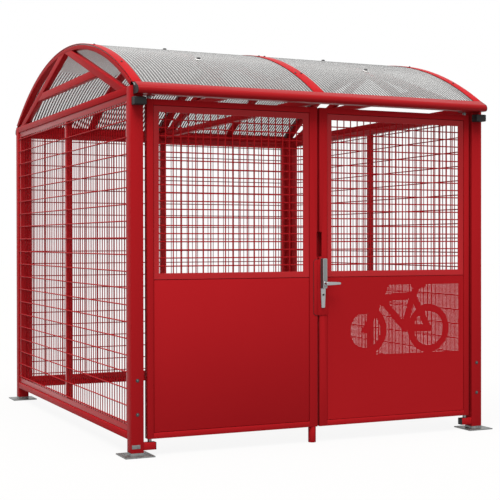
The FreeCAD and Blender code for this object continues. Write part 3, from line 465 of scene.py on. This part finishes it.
# Domed screws on the strips, and washered screws on the sheets over the bay ribs. Profiles give radius and height
# in metres; places are along X in metres and over the arch in degrees
HEAD = [(0.007, 0), (0.007, 0.0026), (0.0064, 0.0044), (0.0048, 0.0055), (0.0030, 0.0060), (0.0026, 0.0046),
        (0.0004, 0.0044)]
WASHER = [(0.022, 0), (0.022, 0.0012), (0.0200, 0.0026), (0.0160, 0.0036), (0.0130, 0.0040), (0.0074, 0.0040)]
WASHER_HEIGHT = 0.004
SEALED_HEAD = [(0.0135, 0), (0.0135, 0.0040), (0.0120, 0.0068), (0.0080, 0.0092), (0.0040, 0.0100),
               (0.0004, 0.0100)]
HEAD_SIDES = 20
WASHER_SIDES = 28
STRIP_COLUMNS = (-1.242, -0.022, 0.022, 1.242)
STRIP_TURNS = (-25, -12.5, 0, 12.5, 25)
SHEET_COLUMNS = (-0.64, 0.64)
SHEET_TURNS = (-20.5, -7, 7, 20.5)


def screws(name, columns, seat, turns, coats, washered):
    """Screw heads that stand on the roof at the radius of their seat."""
    shape = bmesh.new()
    for x in columns:
        for turn in turns:
            angle = math.radians(turn)
            up = Vector((0, -math.sin(angle), math.cos(angle)))
            foot = over_arch(x, seat, angle)
            if washered:
                turned(shape, WASHER, foot, up, WASHER_SIDES, 1)
                foot = foot + WASHER_HEIGHT * up
            turned(shape, SEALED_HEAD if washered else HEAD, foot, up, HEAD_SIDES)
    stand_for(piece("heads_" + name, shape, coats), name)


screws("strip_screws", STRIP_COLUMNS, STRIP_OUTER, STRIP_TURNS, [dark_steel], washered=False)
screws("sheet_screws", SHEET_COLUMNS, SHEET_OUTER, SHEET_TURNS, [dark_steel, bright_zinc], washered=True)

# Perforated panel with a plain figure of a bicycle, all in metres
PANEL_SHEET = 0.0012
PANEL_FOLD = 0.002
HOLE_PITCH = 0.008
HOLE_RADIUS = 0.0018
HOLE_SIDES = 8
SQUARE = [(1, 1), (-1, 1), (-1, -1), (1, -1)]
FIELD_LOW = Vector((0.431, 0.550))
FIELD_HIGH = Vector((1.093, 1.018))
WHEELS = [Vector((0.353, 0.714)), Vector((0.847, 0.714))]
WHEEL_INNER = 0.118
WHEEL_OUTER = 0.162
BAR_HALF = 0.022
HEAD_TUBE = Vector((0.470, 0.925))
SEAT = Vector((0.722, 0.940))
CRANK = Vector((0.655, 0.725))
SADDLE = Vector((0.768, 1.012))
SADDLE_REACH = Vector((0.036, 0))
STEM_FOOT = Vector((0.484, 0.905))
STEM_HEAD = Vector((0.535, 1.019))
FIGURE_BARS = [(WHEELS[0], HEAD_TUBE), (HEAD_TUBE, SEAT), (HEAD_TUBE, CRANK), (CRANK, SEAT), (SEAT, SADDLE),
               (SADDLE - SADDLE_REACH, SADDLE + SADDLE_REACH), (CRANK, WHEELS[1]), (SEAT, WHEELS[1])]


def figure_distance(spot):
    """Distance from a point of the panel to the figure, negative inside it."""
    distances = []
    for start, end in FIGURE_BARS:
        along = end - start
        share = min(max((spot - start).dot(along) / along.length_squared, 0), 1)
        distances.append((spot - start - share * along).length - BAR_HALF)
    for hub in WHEELS:
        radius = (spot - hub).length
        distances.append(max(WHEEL_INNER - radius, radius - WHEEL_OUTER))
    return min(distances)


def is_open(spot):
    """Whether the panel has a hole here: in the field behind the stem or in the front wheel, off the figure."""
    in_field = all(low + HOLE_RADIUS < part < high - HOLE_RADIUS
                   for low, part, high in zip(FIELD_LOW, spot, FIELD_HIGH))
    if spot.y > STEM_FOOT.y:
        lean = (STEM_HEAD.x - STEM_FOOT.x) / (STEM_HEAD.y - STEM_FOOT.y)
        in_field = in_field and spot.x > STEM_FOOT.x + lean * (spot.y - STEM_FOOT.y) + HOLE_RADIUS
    in_wheel = (spot - WHEELS[0]).length < WHEEL_INNER
    return (in_field or in_wheel) and figure_distance(spot) > HOLE_RADIUS


def perforated_panel(name):
    """A sheet with a field of small holes, folded back along its four edges."""
    low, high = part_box(name)
    front, back = low[1], low[1] + PANEL_SHEET
    left, foot = WHEELS[0].x - WHEEL_INNER, FIELD_LOW.y
    columns = math.ceil((FIELD_HIGH.x - left) / HOLE_PITCH)
    rows = math.ceil((FIELD_HIGH.y - foot) / HOLE_PITCH)
    right, top = left + columns * HOLE_PITCH, foot + rows * HOLE_PITCH
    shape = bmesh.new()

    def outline(x0, x1, z0, z1):
        return [(x0, z0), (x1, z0), (x1, z1), (x0, z1)]

    def vertex(x, z):
        return shape.verts.new((x, front, z))

    # Plain margin round the field
    rim = outline(low[0], high[0], low[2], high[2])
    field = outline(left, right, foot, top)
    for i in range(4):
        j = (i + 1) % 4
        shape.faces.new([vertex(*corner) for corner in (rim[i], rim[j], field[j], field[i])])

    # Field of small squares, whole or with a hole
    half = HOLE_PITCH / 2
    angles = [2 * math.pi * (step + 1) / HOLE_SIDES for step in range(HOLE_SIDES)]
    for column in range(columns):
        for row in range(rows):
            spot = Vector((left + (column + 0.5) * HOLE_PITCH, foot + (row + 0.5) * HOLE_PITCH))
            square = [vertex(spot.x + half * across, spot.y + half * up) for across, up in SQUARE]
            if not is_open(spot):
                shape.faces.new(square)
                continue
            hole = [vertex(spot.x + HOLE_RADIUS * math.cos(angle), spot.y + HOLE_RADIUS * math.sin(angle))
                    for angle in angles]
            for side in range(4):
                arc = [hole[(2 * side + step) % HOLE_SIDES] for step in (2, 1, 0)]
                shape.faces.new([square[side], square[(side + 1) % 4], *arc])
    bmesh.ops.remove_doubles(shape, verts=shape.verts, dist=POINT_GAP)
    bmesh.ops.recalc_face_normals(shape, faces=shape.faces)
    thick = bmesh.ops.extrude_face_region(shape, geom=shape.faces[:])
    for item in thick["geom"]:
        if isinstance(item, bmesh.types.BMVert):
            item.co.y += PANEL_SHEET

    # Folded edges
    fold_low, fold_high = low[2] + PANEL_FOLD, high[2] - PANEL_FOLD
    for strip in (outline(low[0], high[0], low[2], fold_low), outline(low[0], high[0], fold_high, high[2]),
                  outline(low[0], low[0] + PANEL_FOLD, fold_low, fold_high),
                  outline(high[0] - PANEL_FOLD, high[0], fold_low, fold_high)):
        loft(shape, [[(x, y, z) for x, z in strip] for y in (back, high[1])])
    stand_for(piece("perforated_" + name, shape, [red_coat]), name)


perforated_panel("leaf_right_panel")

# Lock: a housing whose sides are painted dark for the dark reflection they show, with a light rim round a grey face,
# and a plate below it that narrows towards its foot.
# Sizes in metres
LOCK_X = 0.029
FACE_PROUD = 0.0004
RIM_STEP = 0.0002
RIM_SHARE = 0.3
CORNER_SHARE = 0.6
CORNER_STEPS = 5


def rounded_outline(corners, radius):
    """Points round a four-cornered outline, each corner an arc."""
    points = []
    for i, corner in enumerate(corners):
        before = (corners[i - 1] - corner).normalized()
        after = (corners[(i + 1) % 4] - corner).normalized()
        start, end = corner + radius * before, corner + radius * after
        for step in range(CORNER_STEPS + 1):
            share = step / CORNER_STEPS
            points.append((1 - share) ** 2 * start + 2 * share * (1 - share) * corner + share ** 2 * end)
    return points


def raised_plate(shape, halves, heights, front, radius, edge, materials):
    """A plate on the lock, as wide as the two halves say at its foot and head, with an eased rim round its face."""
    (foot_half, head_half), (foot, head), (body, rim, face) = halves, heights, materials

    def ring(inset, depth):
        corners = [Vector((LOCK_X + side * (half - inset), height))
                   for side, half, height in ((-1, foot_half, foot + inset), (1, foot_half, foot + inset),
                                              (1, head_half, head - inset), (-1, head_half, head - inset))]
        return [(spot.x, depth, spot.y) for spot in rounded_outline(corners, radius - CORNER_SHARE * inset)]

    loft(shape, [ring(0, COVER_FRONT), ring(0, front + edge)], body)
    loft(shape, [ring(RIM_STEP, front + edge), ring(RIM_SHARE * edge, front + RIM_SHARE * edge),
                 ring(edge, front + FACE_PROUD)], rim)
    loft(shape, [ring(edge, front + edge), ring(edge + FACE_PROUD, front)], face)


lock = bmesh.new()
raised_plate(lock, halves=(0.016, 0.016), heights=(1.000, 1.194), front=HOUSING_FRONT, radius=0.007, edge=0.004,
             materials=(1, 0, 2))
raised_plate(lock, halves=(0.013, 0.018), heights=(0.873, 1.000), front=LOWER_PLATE_FRONT, radius=0.006, edge=0.002,
             materials=(0, 0, 0))
# The housing body takes the darker cast tone, painted reflection on its sides
stand_for(piece("lock_housing", lock, [satin, cast_and_reflection, cast_face], SOFT_CREASE), "lock_plate_outer")

# Lock cylinder with an eased rim, bored with room for the key plug to turn
PLUG_BORE = 0.0069
PLUG_DEPTH = 0.030
PLUG_PROUD = 0.0003
CYLINDER_EASE = 0.0006
CYLINDER_SIDES = 48


def bored_cylinder(name):
    """A cylinder along Y that is open in front."""
    low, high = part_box(name)
    radius, length = (high[2] - low[2]) / 2, high[1] - low[1] - PLUG_PROUD
    profile = [(radius, 0), (radius, length - CYLINDER_EASE), (radius - CYLINDER_EASE, length),
               (PLUG_BORE + CYLINDER_EASE, length), (PLUG_BORE, length - CYLINDER_EASE),
               (PLUG_BORE, length - PLUG_DEPTH)]
    shape = bmesh.new()
    turned(shape, profile, (LOCK_X, high[1], low[2] + radius), FORWARD, CYLINDER_SIDES)
    stand_for(piece("turned_" + name, shape, [nickel]), name)


bored_cylinder("lock_cylinder")

# Levers with a round neck and a soft bar that thins towards its end. The grip has a share of its full section at
# places measured from its near end and from its far end
LEVER_HEIGHT = 1.032
ROSETTE = [(0.0135, 0.0003), (0.0135, 0.003), (0.0120, 0.0045), (0.009, 0.005)]
NECK_RADIUS = 0.009
NECK_TIP = (0.0085, 0.004)
GRIP_NEAR = [(0, 0.55), (0.0015, 0.78), (0.005, 0.95), (0.012, 1), (0.04, 0.92), (0.07, 0.80)]
GRIP_FAR = [(0.010, 0.68), (0.004, 0.62), (0.001, 0.48), (0, 0.30)]
GRIP_HALF = 0.012
GRIP_ROUND = 0.6
LEVER_SIDES = 24


def swelled(part):
    """Push a cosine or sine outwards, so that a circle becomes a soft square."""
    return math.copysign(abs(part) ** GRIP_ROUND, part)


def lever(name, seat, neck_end, grip_end):
    """A lever whose rosette, neck and grip end at these places along Y."""
    low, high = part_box(name)
    shape = bmesh.new()
    reach = abs(neck_end - seat)
    neck = [*ROSETTE, (NECK_RADIUS, reach), (NECK_TIP[0], reach + NECK_TIP[1])]
    turned(shape, neck, (LOCK_X, seat, LEVER_HEIGHT), (0, neck_end - seat, 0), LEVER_SIDES)
    middle, depth = (neck_end + grip_end) / 2, abs(grip_end - neck_end) / 2
    stations = [(low[0] + x, share) for x, share in GRIP_NEAR] + [(high[0] - x, share) for x, share in GRIP_FAR]
    angles = [2 * math.pi * step / LEVER_SIDES for step in range(LEVER_SIDES)]
    loft(shape, [[(x, middle + depth * math.sqrt(share) * swelled(math.cos(angle)),
                   LEVER_HEIGHT + GRIP_HALF * share * swelled(math.sin(angle))) for angle in angles]
                 for x, share in stations])
    stand_for(piece("soft_" + name, shape, [satin], SOFT_CREASE), name)


lever("lever_outer", HOUSING_FRONT, -1.529, -1.541)
lever("lever_inner", -1.407, -1.382, -1.370)

# Cap bolts on the front posts, in metres
COLLAR = [(0.0115, 0), (0.0115, 0.0008), (0.0108, 0.0012), (0.0060, 0.0012)]
CAP = [(0.0072, 0), (0.0072, 0.0012), (0.0066, 0.0030), (0.0048, 0.0044), (0.0024, 0.0050), (0.0004, 0.0051)]
CAP_SEAT = 0.0008
CAP_SIDES = 24
BOLT_COLUMNS = (-1.24, 1.24)
BOLT_HEIGHTS = (0.255, 0.462)
caps = bmesh.new()
for x in BOLT_COLUMNS:
    for z in BOLT_HEIGHTS:
        turned(caps, COLLAR, (x, POST_FRONT, z), FORWARD, CAP_SIDES, 1)
        turned(caps, CAP, (x, POST_FRONT - CAP_SEAT, z), FORWARD, CAP_SIDES)
trim(piece("post_bolts", caps, [cast_and_reflection, dark_steel]), "frame")

# Blank plate at the foot of the left front post, in metres
PLATE_PLACE = (-1.2500, -1.4656, 0.0600)
PLATE_SIZE = (0.054, 0.0012, 0.024)
PLATE_EDGE = 0.0004
plate = bmesh.new()
bmesh.ops.create_cube(plate, size=1, matrix=Matrix.Translation(PLATE_PLACE) @ Matrix.Diagonal((*PLATE_SIZE, 1)))
bmesh.ops.bevel(plate, geom=plate.edges[:], offset=PLATE_EDGE, segments=EDGE_STEPS, profile=0.5, affect="EDGES")
trim(piece("blank_plate", plate, [zinc]), "frame")

# Dark strip round the free edge of the strike plate, painted shadow for the shadow gap there: its inner line, the way
# out from it, and sizes in metres
SHADOW_STRIP_LINE = [(-0.0075, 0.825), (-0.0225, 0.825), (-0.0345, 0.837), (-0.0345, 1.175), (-0.0225, 1.187),
             (-0.0075, 1.187)]
SHADOW_STRIP_OUT = [(0, -1), (-0.41, -1), (-1, -0.41), (-1, 0.41), (-0.41, 1), (0, 1)]
SHADOW_STRIP_WIDE = 0.0028
SHADOW_STRIP_PROUD = 0.0016
SHADOW_STRIP_LIP = 0.0012
shadow_strip_rings = []
for (x, z), (out_x, out_z) in zip(SHADOW_STRIP_LINE, SHADOW_STRIP_OUT):
    far_x, far_z = x + SHADOW_STRIP_WIDE * out_x, z + SHADOW_STRIP_WIDE * out_z
    shadow_strip_rings.append([(x, POST_FRONT, z), (x, POST_FRONT - SHADOW_STRIP_PROUD, z), (far_x, POST_FRONT - SHADOW_STRIP_LIP, far_z),
                       (far_x, POST_FRONT, far_z)])
shadow_strip = bmesh.new()
loft(shadow_strip, shadow_strip_rings)
# A black strip along the plate's free edge, painted shadow
trim(piece("strike_shadow_strip", shadow_strip, [black]), "leaf_left")

# Floor that fades into the white surroundings
FLOOR_RADIUS = 60
FLOOR_SIDES = 64
FLOOR_MOTTLE = 0.06
FLOOR_FADE = 0.90
floor_shape = bmesh.new()
bmesh.ops.create_circle(floor_shape, cap_ends=True, segments=FLOOR_SIDES, radius=FLOOR_RADIUS)
ground = finish("studio_floor")
seen = ground.seen()
pale = ground.colour(seen, FLOOR_GREY, FLOOR_WHITE)
mottle = ground.colour(FLOOR_MOTTLE * ground.noise(scale=0.6), pale, FLOOR_GREY)
matt = ground.add("ShaderNodeBsdfDiffuse", {}, {"Color": mottle})
glow = ground.add("ShaderNodeEmission", {}, {"Color": WHITE, "Strength": 1.0})
blend = ground.add("ShaderNodeMixShader", {}, {0: FLOOR_FADE * seen, 1: matt, 2: glow})
ground.add("ShaderNodeOutputMaterial", {}, {"Surface": blend})
piece("floor", floor_shape, [ground.owner])

# Surroundings, lamp and camera
scene = bpy.context.scene
scene.world = bpy.data.worlds.new("studio")
studio = Finish(scene.world)
strength = AMBIENT + (1 - AMBIENT) * studio.seen()
sky = studio.add("ShaderNodeBackground", {}, {"Color": WHITE, "Strength": strength})
studio.add("ShaderNodeOutputWorld", {}, {"Surface": sky})

overhead = bpy.data.lights.new("overhead", "SUN")
overhead.energy = LAMP_POWER
overhead.color = LAMP_COLOUR
overhead.angle = math.radians(LAMP_SPREAD)
lamp = bpy.data.objects.new("overhead", overhead)
lamp.rotation_euler = [math.radians(turn) for turn in LAMP_TILT]
scene.collection.objects.link(lamp)

lens = bpy.data.cameras.new("camera")
lens.lens = CAMERA_LENS
lens.sensor_width = SENSOR_WIDTH
lens.sensor_fit = "HORIZONTAL"
lens.clip_end = CAMERA_REACH
camera = bpy.data.objects.new("camera", lens)
aim = Euler((math.radians(90 + CAMERA_PITCH), 0, math.radians(-CAMERA_YAW))).to_matrix().to_4x4()
camera.matrix_world = Matrix.Translation(CAMERA_PLACE) @ aim @ Matrix.Rotation(math.radians(CAMERA_ROLL), 4, "Z")
scene.collection.objects.link(camera)
scene.camera = camera
scene.view_settings.view_transform = "Standard"
